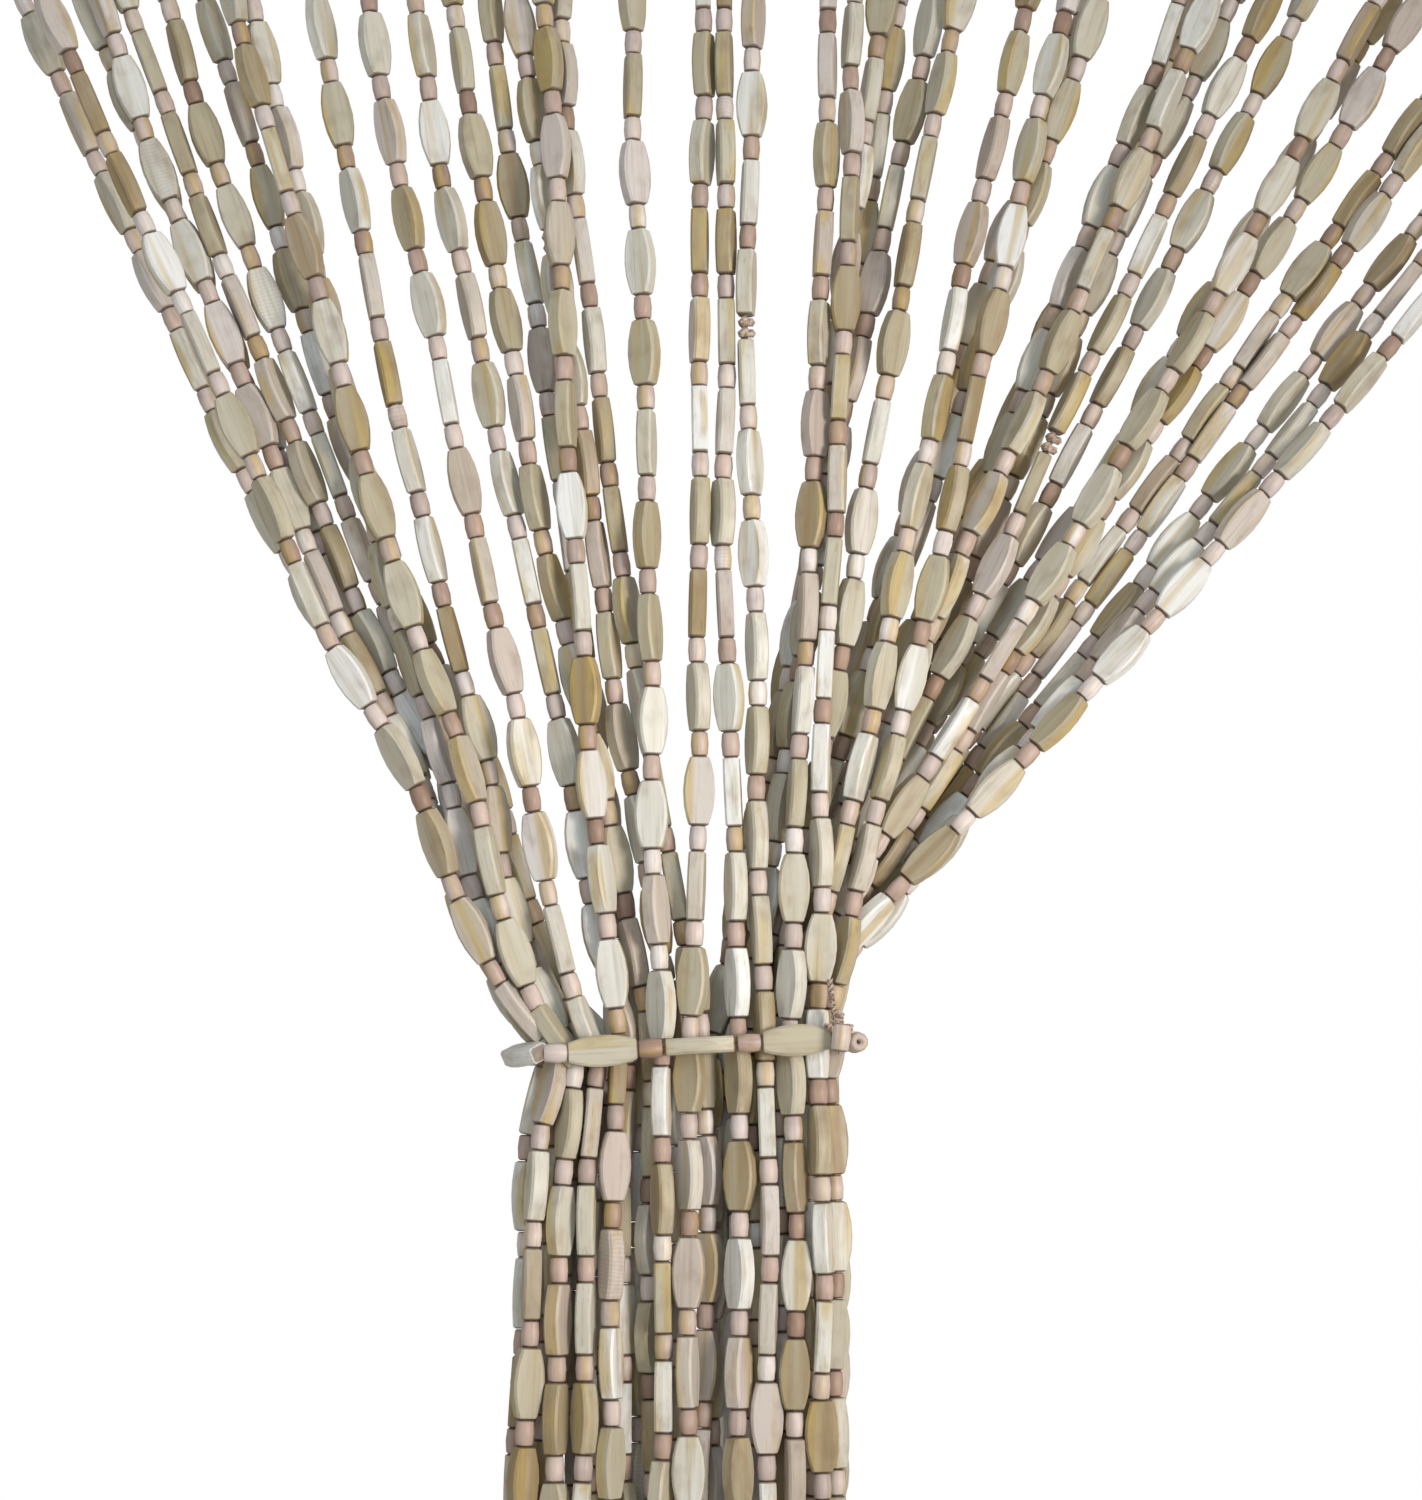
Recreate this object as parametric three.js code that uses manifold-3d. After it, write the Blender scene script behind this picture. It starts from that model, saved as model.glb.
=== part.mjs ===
import * as THREE from 'three';
import { mergeVertices } from 'three/addons/utils/BufferGeometryUtils.js';
import Module from 'manifold-3d';

// Bead curtain in millimetres, +Z up. The origin is the middle of the heading's top edge,
// +X runs to the right along the heading and +Y goes away from the viewer.
// Every strand hangs from the heading, is drawn into one bundle by the tie and hangs on below.

// Heading: a plain wooden batten with eased edges.
const HEADING_WIDTH = 920;
const HEADING_HEIGHT = 22;
const HEADING_DEPTH = 12;
const HEADING_EASE = 2;
const HEADING_EASE_STEPS = 3;
const FIT_GAP = 0.3;

// Strands: evenly strung along the batten, all cut to one length.
const STRAND_PITCH = 20;
const STRAND_LENGTH = 1830;
const STRAND_WIDTH = 5.6;
const STEPS_ABOVE_TIE = 12;
const STEPS_BELOW_TIE = 8;
const ROOT_HEIGHT = 3;
const ROOT_DEPTH = 7;

// The bundle: columns across and layers deep. A strand is upright from just above the tie.
const TIE_X = -81;
const TIE_Z = -661;
const WAIST_Z = -652;
const FAN_Z = -309;
const COLUMN_PITCH = 8.1;
const LAYER_PITCH = 8.2;
const MIDDLE_LAYER = 2;
const DEPTH_LEAD = 1.2;
const FOOT_SPREAD = 0.2;

// Tie: a short string of beads drawn tight round the bundle, knotted at the right front, with one
// free end standing up from the knot. The clearance is from the strands' lines to the band.
const TIE_CLEARANCE = 4.6;
const TIE_THICKNESS = 5.2;
const TIE_HEIGHT = 8;
const TIE_BEVEL = 1.4;
const TIE_CURVE_STEPS = 3;
const TIE_TILT = 0.05;
const KNOT_X = 51;
const KNOT_Y = - 24;
const KNOT_RADIUS = 5;
const KNOT_RISE = 1.5;
const FREE_END_LENGTH = 18;
const FREE_END_LEAN = - 2;
const FREE_END_RADIUS = 1.7;
const FREE_END_SIDES = 6;
const FREE_END_STEPS = 4;

// One row for each strand from left to right: where it passes the fan's mark, in mm from the
// origin, then its column in the bundle, counted from the middle, and its layer from the front.
const STRANDS = [
	[ - 303, - 5, 3 ],
	[ - 293, - 5.5, 0 ],
	[ - 282, - 4, 3 ],
	[ - 276, - 5.5, 2 ],
	[ - 266, - 4.5, 2 ],
	[ - 254, - 3.5, 2 ],
	[ - 241, - 3, 3 ],
	[ - 229, - 4.5, 0 ],
	[ - 223, - 6, 1 ],
	[ - 203, - 5, 1 ],
	[ - 185, - 3.5, 0 ],
	[ - 170, - 2, 1 ],
	[ - 158, - 1, 1 ],
	[ - 144, - 1.5, 2 ],
	[ - 134, 0, 1 ],
	[ - 126, - 2.5, 0 ],
	[ - 120, 1, 1 ],
	[ - 96, - 0.5, 0 ],
	[ - 73, 0.5, 0 ],
	[ - 66, 2.5, 0 ],
	[ - 56, 3.5, 0 ],
	[ - 30, 4.5, 0 ],
	[ - 21, 5.5, 0 ],
	[ - 13, 3, 1 ],
	[ - 6, 2, 3 ],
	[ 4, 1.5, 2 ],
	[ 14, 4, 1 ],
	[ 36, 5, 1 ],
	[ 50, 6, 1 ],
	[ 59, 2.5, 2 ],
	[ 56, 2.5, 4 ],
	[ 87, 3, 3 ],
	[ 92, 2, 5 ],
	[ 97, 3.5, 2 ],
	[ 105, 3.5, 4 ],
	[ 118, 4, 3 ],
	[ 130, 4.5, 4 ],
	[ 155, 4.5, 2 ],
	[ 159, 3, 5 ],
	[ 169, 5, 3 ],
	[ 192, 4, 5 ],
	[ 201, 5, 5 ],
	[ 221, 5.5, 4 ],
	[ 234, 6, 3 ],
	[ 251, 5.5, 2 ]
].map( ( [ fan, column, layer ] ) => ( { fan, column, layer } ) );

const ROOT_Z = - HEADING_HEIGHT - FIT_GAP - ROOT_HEIGHT / 2;

const wasm = await Module();
wasm.setup();

// A closed three.js geometry as a solid for joining, and the joined solid as a geometry again.
function toSolid( geometry ) {

	const bare = geometry.clone();
	bare.deleteAttribute( 'normal' );
	bare.deleteAttribute( 'uv' );
	const merged = mergeVertices( bare );
	return new wasm.Manifold( new wasm.Mesh( {
		numProp: 3,
		vertProperties: new Float32Array( merged.attributes.position.array ),
		triVerts: new Uint32Array( merged.index.array )
	} ) );

}

function toGeometry( solid ) {

	const mesh = solid.getMesh();
	const geometry = new THREE.BufferGeometry();
	geometry.setAttribute( 'position', new THREE.BufferAttribute( mesh.vertProperties, 3 ) );
	geometry.setIndex( new THREE.BufferAttribute( mesh.triVerts, 1 ) );
	geometry.computeVertexNormals();
	return geometry;

}

// Outline that runs tightly round the outside of a convex row of corners, at one distance.
function tightOutline( Path, corners, distance ) {

	const outline = new Path();
	corners.forEach( ( corner, i ) => {

		const next = corners[ ( i + 1 ) % corners.length ];
		const arriving = corner.clone().sub( corners.at( i - 1 ) ).angle() - Math.PI / 2;
		const leaving = next.clone().sub( corner ).angle() - Math.PI / 2;
		outline.absarc( corner.x, corner.y, distance, arriving, leaving, false );

	} );
	outline.closePath();
	return outline;

}

// The batten's section, rounded at its four long edges, drawn out along its length.
function headingGeometry() {

	const top = HEADING_HEIGHT / 2 - HEADING_EASE;
	const back = HEADING_DEPTH / 2 - HEADING_EASE;
	const corners = [
		new THREE.Vector2( - top, - back ),
		new THREE.Vector2( top, - back ),
		new THREE.Vector2( top, back ),
		new THREE.Vector2( - top, back )
	];
	const section = tightOutline( THREE.Shape, corners, HEADING_EASE );
	const geometry = new THREE.ExtrudeGeometry( section, {
		depth: HEADING_WIDTH,
		bevelEnabled: false,
		curveSegments: HEADING_EASE_STEPS
	} );
	geometry.translate( 0, 0, - HEADING_WIDTH / 2 );
	geometry.rotateY( Math.PI / 2 );
	geometry.translate( 0, 0, - HEADING_HEIGHT / 2 );
	return geometry;

}

const rootX = ( index ) => ( index - ( STRANDS.length - 1 ) / 2 ) * STRAND_PITCH;

// Above the tie a strand sags through its root, the fan's mark and its waist, on one parabola,
// and it moves to its layer early, so that crossing strands pass behind each other.
function fannedPoint( strand, index, z ) {

	const marks = [
		[ ROOT_Z, rootX( index ) ],
		[ FAN_Z, strand.fan ],
		[ WAIST_Z, TIE_X + strand.column * COLUMN_PITCH ]
	];
	let x = 0;
	marks.forEach( ( [ markZ, markX ] ) => {

		const others = marks.filter( ( mark ) => mark[ 0 ] !== markZ );
		x += others.reduce( ( share, mark ) => share * ( z - mark[ 0 ] ) / ( markZ - mark[ 0 ] ), markX );

	} );
	const down = ( ROOT_Z - z ) / ( ROOT_Z - WAIST_Z );
	const settled = Math.sin( Math.min( 1, down * DEPTH_LEAD ) * Math.PI / 2 );
	return new THREE.Vector3( x, ( strand.layer - MIDDLE_LAYER ) * LAYER_PITCH * settled, z );

}

// Below the tie the bundle hangs straight down and opens a little towards its feet.
function bundledPoint( strand, z ) {

	const spread = 1 + FOOT_SPREAD * Math.max( 0, TIE_Z - z ) / ( STRAND_LENGTH + TIE_Z );
	const x = TIE_X + strand.column * COLUMN_PITCH * spread;
	return new THREE.Vector3( x, ( strand.layer - MIDDLE_LAYER ) * LAYER_PITCH * spread, z );

}

function strandLine( strand, index ) {

	const line = [];
	for ( let i = 0; i <= STEPS_ABOVE_TIE; i ++ ) {

		line.push( fannedPoint( strand, index, THREE.MathUtils.lerp( ROOT_Z, WAIST_Z, i / STEPS_ABOVE_TIE ) ) );

	}

	const above = line.slice( 1 ).reduce( ( length, point, i ) => length + point.distanceTo( line[ i ] ), 0 );
	const footZ = WAIST_Z - ( STRAND_LENGTH - above );
	const tieFootZ = 2 * TIE_Z - WAIST_Z;
	for ( let i = 0; i < STEPS_BELOW_TIE; i ++ ) {

		line.push( bundledPoint( strand, THREE.MathUtils.lerp( tieFootZ, footZ, i / ( STEPS_BELOW_TIE - 1 ) ) ) );

	}

	return line;

}

// A strand is a four-sided bar whose rings of corners are moved onto its line.
function strandGeometry( strand, index ) {

	const line = strandLine( strand, index );
	const steps = line.length - 1;
	const geometry = new THREE.BoxGeometry( STRAND_WIDTH, STRAND_WIDTH, steps, 1, 1, steps );
	const corners = geometry.attributes.position;
	for ( let i = 0; i < corners.count; i ++ ) {

		const place = line[ Math.round( steps / 2 - corners.getZ( i ) ) ];
		corners.setXYZ( i, place.x + corners.getX( i ), place.y + corners.getY( i ), place.z );

	}

	return geometry;

}

// The strands' roots are fused to one narrow strip that runs under the batten.
function strandsGeometry() {

	const rootWidth = ( STRANDS.length - 1 ) * STRAND_PITCH + 2 * STRAND_WIDTH;
	const strip = new THREE.BoxGeometry( rootWidth, ROOT_DEPTH, ROOT_HEIGHT );
	strip.translate( 0, 0, ROOT_Z );
	const solids = STRANDS.map( ( strand, index ) => toSolid( strandGeometry( strand, index ) ) );
	return toGeometry( wasm.Manifold.union( [ toSolid( strip ), ...solids ] ) );

}

// The strands that the tie bears on: the outermost ones at the waist, anticlockwise round the bundle.
function outermostPlaces() {

	const places = STRANDS.map( ( strand ) => {

		const { x, y } = bundledPoint( strand, TIE_Z );
		return new THREE.Vector2( x - TIE_X, y );

	} ).sort( ( a, b ) => a.x - b.x || a.y - b.y );
	return [ ...convexSide( places ), ...convexSide( places.reverse() ) ];

}

// The places along one side of a sorted row at which its outline turns anticlockwise.
function convexSide( row ) {

	const turn = ( a, b, c ) => b.clone().sub( a ).cross( c.clone().sub( b ) );
	const kept = [];
	row.forEach( ( place ) => {

		while ( kept.length > 1 && turn( kept.at( - 2 ), kept.at( - 1 ), place ) <= 0 ) {

			kept.pop();

		}

		kept.push( place );

	} );
	return kept.slice( 0, - 1 );

}

// The band of the tie, its knot at the right front, and the free end that rises from the knot.
function tieGeometry() {

	const places = outermostPlaces();
	const inside = TIE_CLEARANCE + TIE_BEVEL;
	const outside = TIE_CLEARANCE + TIE_THICKNESS - TIE_BEVEL;
	const outline = tightOutline( THREE.Shape, places, outside );
	outline.holes.push( tightOutline( THREE.Path, places, inside ) );
	const band = new THREE.ExtrudeGeometry( outline, {
		depth: TIE_HEIGHT - 2 * TIE_BEVEL,
		bevelThickness: TIE_BEVEL,
		bevelSize: TIE_BEVEL,
		bevelSegments: 2,
		curveSegments: TIE_CURVE_STEPS
	} );
	band.translate( 0, 0, TIE_BEVEL - TIE_HEIGHT / 2 );

	const knot = new THREE.IcosahedronGeometry( KNOT_RADIUS, 1 );
	knot.translate( KNOT_X, KNOT_Y, KNOT_RISE );

	const section = new THREE.Shape( Array.from( { length: FREE_END_SIDES }, ( _, i ) => {

		const turn = i / FREE_END_SIDES * Math.PI * 2;
		return new THREE.Vector2( Math.cos( turn ), Math.sin( turn ) ).multiplyScalar( FREE_END_RADIUS );

	} ) );
	const route = new THREE.QuadraticBezierCurve3(
		new THREE.Vector3( KNOT_X, KNOT_Y, KNOT_RISE ),
		new THREE.Vector3( KNOT_X, KNOT_Y, KNOT_RISE + FREE_END_LENGTH / 2 ),
		new THREE.Vector3( KNOT_X + FREE_END_LEAN, KNOT_Y, KNOT_RISE + FREE_END_LENGTH )
	);
	const freeEnd = new THREE.ExtrudeGeometry( section, { steps: FREE_END_STEPS, extrudePath: route } );

	const geometry = toGeometry( wasm.Manifold.union( [ band, knot, freeEnd ].map( toSolid ) ) );
	geometry.rotateY( - TIE_TILT );
	geometry.translate( TIE_X, 0, TIE_Z );
	return geometry;

}

const curtain = new THREE.Group();

function addMesh( name, geometry, material ) {

	const mesh = new THREE.Mesh( geometry, material );
	mesh.name = name;
	curtain.add( mesh );

}

addMesh( 'heading', headingGeometry(), new THREE.MeshStandardMaterial( {
	color: 0xc8b491,
	roughness: 0.55,
	metalness: 0
} ) );

addMesh( 'strands', strandsGeometry(), new THREE.MeshStandardMaterial( {
	color: 0xc9bfa4,
	roughness: 0.42,
	metalness: 0
} ) );

addMesh( 'tie', tieGeometry(), new THREE.MeshStandardMaterial( {
	color: 0xc8bca0,
	roughness: 0.42,
	metalness: 0
} ) );

export default curtain;
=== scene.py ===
import math

import bpy
import numpy as np
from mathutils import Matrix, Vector


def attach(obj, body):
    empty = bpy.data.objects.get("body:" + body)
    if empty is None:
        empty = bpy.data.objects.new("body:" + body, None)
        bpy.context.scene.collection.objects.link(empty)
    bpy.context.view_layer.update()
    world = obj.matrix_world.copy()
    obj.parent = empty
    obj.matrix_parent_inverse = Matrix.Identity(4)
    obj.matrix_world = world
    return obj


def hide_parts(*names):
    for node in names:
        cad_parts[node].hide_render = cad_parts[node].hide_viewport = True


# Bead curtain: strings of wooden beads hung from a batten and drawn together by a tie, in metres.
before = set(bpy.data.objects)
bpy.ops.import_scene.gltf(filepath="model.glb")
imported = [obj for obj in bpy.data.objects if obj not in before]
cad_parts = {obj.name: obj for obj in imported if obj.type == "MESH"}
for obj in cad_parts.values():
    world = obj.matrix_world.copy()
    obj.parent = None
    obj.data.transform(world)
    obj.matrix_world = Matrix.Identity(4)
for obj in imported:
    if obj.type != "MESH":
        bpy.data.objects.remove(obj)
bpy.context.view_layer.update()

# Heading batten: one planed strip of pale softwood, which the curtain is held by.
# Its edges are eased and it is left with a thin satin oil, so the grain along it still shows.
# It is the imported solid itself.


class Shade:
    """An output of a node in one material. Arithmetic on it adds Math nodes to that material."""

    def __init__(self, tree, socket=None):
        self.tree = tree
        self.socket = socket

    def node(self, kind, settings=None, sockets=None, output=0):
        """Adds any node: its settings are set first, then its sockets get values or links."""
        node = self.tree.nodes.new(kind)
        for name, value in (settings or {}).items():
            if name == "stops":
                lay_stops(node.color_ramp, value)
            else:
                setattr(node, name, value)
        for name, value in (sockets or {}).items():
            if isinstance(value, Shade):
                self.tree.links.new(value.socket, node.inputs[name])
            else:
                node.inputs[name].default_value = value
        return Shade(self.tree, node.outputs[output])

    def maths(self, operation, first, second):
        return self.node("ShaderNodeMath", {"operation": operation}, {0: first, 1: second})

    def __add__(self, other):
        return self.maths("ADD", self, other)

    def __sub__(self, other):
        return self.maths("SUBTRACT", self, other)

    def __mul__(self, other):
        return self.maths("MULTIPLY", self, other)

    def __radd__(self, other):
        return self.maths("ADD", other, self)

    def __rsub__(self, other):
        return self.maths("SUBTRACT", other, self)

    def __rmul__(self, other):
        return self.maths("MULTIPLY", other, self)

    def rising(self, low, high):
        """0 where this value is low and 1 where it is high, with a smooth rise between."""
        return self.node(
            "ShaderNodeMapRange",
            {"interpolation_type": "SMOOTHSTEP"},
            {"Value": self, "From Min": low, "From Max": high},
        )

    def ramp(self, stops):
        """The colour that this value picks from a row of stops."""
        return self.node("ShaderNodeValToRGB", {"stops": stops}, {"Fac": self})

    def mixed(self, other, share, way="MIX"):
        """This colour mixed with another one by a share from 0 to 1."""
        return self.node(
            "ShaderNodeMix",
            {"data_type": "RGBA", "blend_type": way},
            {0: share, 6: self, 7: other},
            2,
        )

    def scaled(self, x, y, z):
        """This vector with each of its parts multiplied."""
        return self.node("ShaderNodeVectorMath", {"operation": "MULTIPLY"}, {0: self, 1: (x, y, z)})

    def noise(self, scale, detail=2.0, roughness=0.5):
        """Soft noise from 0 to 1 over this vector."""
        sockets = {"Vector": self, "Scale": scale, "Detail": detail, "Roughness": roughness}
        return self.node("ShaderNodeTexNoise", {}, sockets)


def colour(red, green, blue):
    """A colour given as it looks on a screen, from 0 to 255, as the shader's own numbers."""
    parts = [part / 255 for part in (red, green, blue)]
    return (*[p / 12.92 if p < 0.04045 else ((p + 0.055) / 1.055) ** 2.4 for p in parts], 1.0)


def lay_stops(ramp, stops):
    """Gives a colour ramp its stops, each a place from 0 to 1 and a colour."""
    for at, shade in stops[2:]:
        ramp.elements.new(at).color = shade
    for element, (at, shade) in zip(ramp.elements, sorted(stops)):
        element.position = at
        element.color = shade


def new_material(name):
    """A material with only its output and its main shader, and a Shade to build on."""
    material = bpy.data.materials.new(name)
    material.use_nodes = True
    shader = material.node_tree.nodes["Principled BSDF"]
    return material, shader, Shade(material.node_tree)


def connect(shader, name, value):
    """Feeds one socket of a main shader from a Shade."""
    value.tree.links.new(value.socket, shader.inputs[name])


def batten_wood():
    """Pale planed softwood, with its growth rings and fibres drawn out along the batten."""
    ring_length = 14.0
    ring_across = 260.0
    fibre_length = 60.0
    fibre_across = 2600.0
    material, shader, start = new_material("batten_softwood")
    place = start.node("ShaderNodeTexCoord", output=3)
    rings = place.scaled(ring_length, ring_across, ring_across * 0.6).noise(1.0, 3.0)
    fibres = place.scaled(fibre_length, fibre_across, fibre_across).noise(1.0, 4.0, 0.6)
    wood = rings.ramp(
        [
            (0.25, colour(214, 201, 174)),
            (0.52, colour(204, 188, 156)),
            (0.60, colour(186, 166, 132)),
            (0.72, colour(210, 196, 166)),
        ]
    )
    streaked = wood.mixed(colour(176, 146, 104), fibres.rising(0.52, 0.78) * 0.45)
    connect(shader, "Base Color", streaked)
    connect(shader, "Roughness", 0.42 + fibres * 0.16)
    bump = start.node(
        "ShaderNodeBump", {}, {"Height": fibres, "Strength": 0.35, "Distance": 0.0003}
    )
    connect(shader, "Normal", bump)
    return material


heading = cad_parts["heading"]
heading.data.materials.clear()
heading.data.materials.append(batten_wood())

# Heading lath: a slim strip of the same wood under the batten, fixed to it from above.
# Every string is wound twice round it and knotted, which keeps the strings at one even pitch.
# It stands where the strands' solid has its root strip.
string_pitch = 0.020
string_count = 45
lath_depth = 0.0058
lath_height = 0.0021
lath_z = -0.0242
lath_ease = 0.0004
lath_overhang = 0.0056


def box_mesh(name, low, high):
    """A plain block between two corners, for a bevel to finish."""
    xs, ys, zs = zip(low, high)
    corners = [(x, y, z) for x in xs for y in ys for z in zs]
    faces = [(0, 1, 3, 2), (4, 6, 7, 5), (0, 4, 5, 1), (2, 3, 7, 6), (0, 2, 6, 4), (1, 5, 7, 3)]
    mesh = bpy.data.meshes.new(name)
    mesh.from_pydata(corners, [], faces)
    return mesh


def add_object(name, data):
    """An object in the scene that shows a mesh, a lamp or a camera."""
    made = bpy.data.objects.new(name, data)
    bpy.context.scene.collection.objects.link(made)
    return made


def baked(piece):
    """Takes the piece's modifiers into its mesh."""
    shown = piece.evaluated_get(bpy.context.evaluated_depsgraph_get())
    mesh = bpy.data.meshes.new_from_object(shown)
    piece.modifiers.clear()
    piece.data = mesh
    return piece


lath_half_width = (string_count - 1) / 2 * string_pitch + lath_overhang
lath = add_object(
    "heading_lath",
    box_mesh(
        "heading_lath",
        (-lath_half_width, -lath_depth / 2, lath_z - lath_height / 2),
        (lath_half_width, lath_depth / 2, lath_z + lath_height / 2),
    ),
)
ease = lath.modifiers.new("eased edges", "BEVEL")
ease.width = lath_ease
ease.segments = 2
lath.data.materials.append(heading.data.materials[0])
baked(lath)
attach(lath, "root")
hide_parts("strands")

# Strings: cotton threads that hang from the lath, are drawn into one bundle by the tie and hang on.
# A string passes the fan's mark, takes its column and its layer in the bundle, and keeps its length.
# Beads of one string rest against those of the next, which bends the strings a little.
root_z = -0.0238
string_length = 1.830
fan_z = -0.309
waist_z = -0.652
waist_rise = 0.015
tie_x = -0.081
tie_z = -0.661
column_pitch = 0.0081
layer_pitch = 0.0082
middle_layer = 2
depth_lead = 1.2
foot_spread = 0.2

# How far the strings from the far left stand out over the tie, lean inwards above it and are
# drawn in by it, with the heights at which they do and the lengths over which it fades.
shoulder = 0.0115
shoulder_foot = -0.664
lean_in = 0.0070
lean_in_z = -0.572
lean_in_spread = 0.032
nip = 0.0045
nip_spread = 0.007

# The beads' sizes, which also say how close two strings can lie.
bead_pair = 0.0304
long_length = 0.0222
small_length = 0.0080
long_half_width = 0.0050
long_half_end = 0.0029
long_half_thickness = 0.0026
small_radius = 0.0030
bead_clearance = 0.0001

# For each string from left to right: where it passes the fan's mark, its column and its layer in
# the bundle, and how far below its root the first small bead's place falls.
strings = (
    (-0.303, -5, 3, 0.012),
    (-0.293, -5.5, 0, 0.0073),
    (-0.282, -4, 3, 0.025),
    (-0.276, -5.5, 2, 0.017),
    (-0.266, -4.5, 2, 0.004),
    (-0.254, -3.5, 2, 0.028),
    (-0.241, -3, 3, 0.016),
    (-0.229, -4.5, 0, 0.008),
    (-0.223, -6, 1, 0.0239),
    (-0.203, -5, 1, 0.0147),
    (-0.185, -3.5, 0, 0.0231),
    (-0.170, -2, 1, 0.0201),
    (-0.158, -1, 1, 0.0235),
    (-0.144, -1.5, 2, 0.003),
    (-0.134, 0, 1, 0.009),
    (-0.126, -2.5, 0, 0.0229),
    (-0.120, 1, 1, 0.026),
    (-0.096, -0.5, 0, 0.0015),
    (-0.073, 0.5, 0, 0.0242),
    (-0.066, 2.5, 0, 0.0245),
    (-0.056, 3.5, 0, 0.0083),
    (-0.030, 4.5, 0, 0.0254),
    (-0.021, 5.5, 0, 0.0148),
    (-0.013, 3, 1, 0.002),
    (-0.006, 2, 3, 0.019),
    (0.004, 1.5, 2, 0.011),
    (0.014, 4, 1, 0.006),
    (0.036, 5, 1, 0.0285),
    (0.050, 6, 1, 0.0008),
    (0.059, 2.5, 2, 0.018),
    (0.056, 2.5, 4, 0.005),
    (0.087, 3, 3, 0.022),
    (0.092, 2, 5, 0.013),
    (0.097, 3.5, 2, 0.029),
    (0.105, 3.5, 4, 0.010),
    (0.118, 4, 3, 0.001),
    (0.130, 4.5, 4, 0.024),
    (0.155, 4.5, 2, 0.015),
    (0.159, 3, 5, 0.007),
    (0.169, 5, 3, 0.020),
    (0.192, 4, 5, 0.027),
    (0.201, 5, 5, 0.012),
    (0.221, 5.5, 4, 0.003),
    (0.234, 6, 3, 0.023),
    (0.251, 5.5, 2, 0.0107),
)
fan_x, columns, layers, first_small = (np.array(part) for part in zip(*strings))
root_x = (np.arange(string_count) - (string_count - 1) / 2) * string_pitch
level_step = bead_pair / 4
levels = np.arange(root_z, root_z - string_length, -level_step)


def resting_lines():
    """Each string's place across and in depth at every level, before its beads meet the others'.

    Strings from the right reach their columns a little above the tie. Those from the far left
    lean inwards on each other, rest on the tie's upper edge and are nipped in by it.
    """
    right_from = 0.05
    right_span = 0.15
    left_from = -0.15
    left_span = 0.10
    nipped_from = -2
    nipped_columns = 3
    own_waist = waist_z + waist_rise * np.clip((fan_x - right_from) / right_span, 0, 1)
    far_left = np.clip((left_from - fan_x) / left_span, 0, 1)
    rest_out = -shoulder * far_left
    above = np.maximum(levels[None, :], own_waist[:, None])
    marks = (
        (np.full(string_count, root_z), root_x),
        (np.full(string_count, fan_z), fan_x),
        (own_waist, tie_x + columns * column_pitch + rest_out),
    )
    across = np.zeros((string_count, len(levels)))
    for mark_z, mark_x in marks:
        share = np.ones((string_count, len(levels)))
        for other_z, _ in marks:
            if other_z is not mark_z:
                share = share * (above - other_z[:, None]) / (mark_z - other_z)[:, None]
        across += mark_x[:, None] * share
    bent = np.clip((waist_z - levels) / (waist_z - shoulder_foot), 0, 1)
    across -= rest_out[:, None] * bent[None, :]
    leaning = np.exp(-(((levels - lean_in_z) / lean_in_spread) ** 2))
    across += lean_in * far_left[:, None] * leaning[None, :]
    nipped = np.exp(-(((levels - tie_z) / nip_spread) ** 2))
    outer = np.clip((nipped_from - columns) / nipped_columns, 0, 1)
    across += nip * outer[:, None] * nipped[None, :]
    down = (root_z - above) / (root_z - own_waist[:, None])
    settled = np.sin(np.minimum(1, down * depth_lead) * math.pi / 2)
    spread = foot_spread * np.maximum(0, tie_z - levels) / (string_length + tie_z)
    across += columns[:, None] * column_pitch * spread
    depth = (layers[:, None] - middle_layer) * layer_pitch * (settled + spread)
    return np.stack([across, depth], axis=2)


def wandering(seed):
    """Slow bends of each string, none at its root and few at the tie."""
    lengths_and_sizes = ((0.26, 0.0009), (0.13, 0.0005), (0.075, 0.0003))
    straight_below_root = 0.15
    tie_hold = 0.8
    tie_hold_spread = 0.04
    random = np.random.default_rng(seed)
    bends = np.zeros((string_count, len(levels), 2))
    for wave_length, size in lengths_and_sizes:
        own_length = wave_length * random.uniform(0.8, 1.25, (string_count, 1, 1))
        start = random.uniform(0, 1, (string_count, 1, 2))
        bends += size * np.sin(2 * math.pi * (levels[None, :, None] / own_length + start))
    free_of_root = np.minimum(1, (root_z - levels) / straight_below_root)
    free_of_tie = 1 - tie_hold * np.exp(-(((levels - tie_z) / tie_hold_spread) ** 2))
    return bends * (free_of_root * free_of_tie)[None, :, None]


def length_down(line):
    """The length along each string from its root to every level."""
    steps = np.diff(line, axis=1)
    drops = np.diff(levels)[None, :]
    step_lengths = np.sqrt((steps**2).sum(axis=2) + drops**2)
    return np.concatenate([np.zeros((string_count, 1)), np.cumsum(step_lengths, axis=1)], axis=1)


def sections(down):
    """Half the width and half the thickness of the bead at every level, and which pair it is in."""
    pair = np.floor((down - first_small[:, None]) / bead_pair).astype(int)
    inside = down - first_small[:, None] - pair * bead_pair
    from_small = np.minimum(inside, bead_pair - inside)
    along_long = np.clip((bead_pair / 2 - from_small) / (long_length / 2), 0, 1)
    wide = long_half_width - (long_half_width - long_half_end) * along_long**2
    is_small = from_small < small_length / 2
    half_width = np.where(is_small, small_radius, wide)
    half_thickness = np.where(is_small, small_radius, long_half_thickness)
    return half_width, half_thickness, pair + 1


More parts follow.
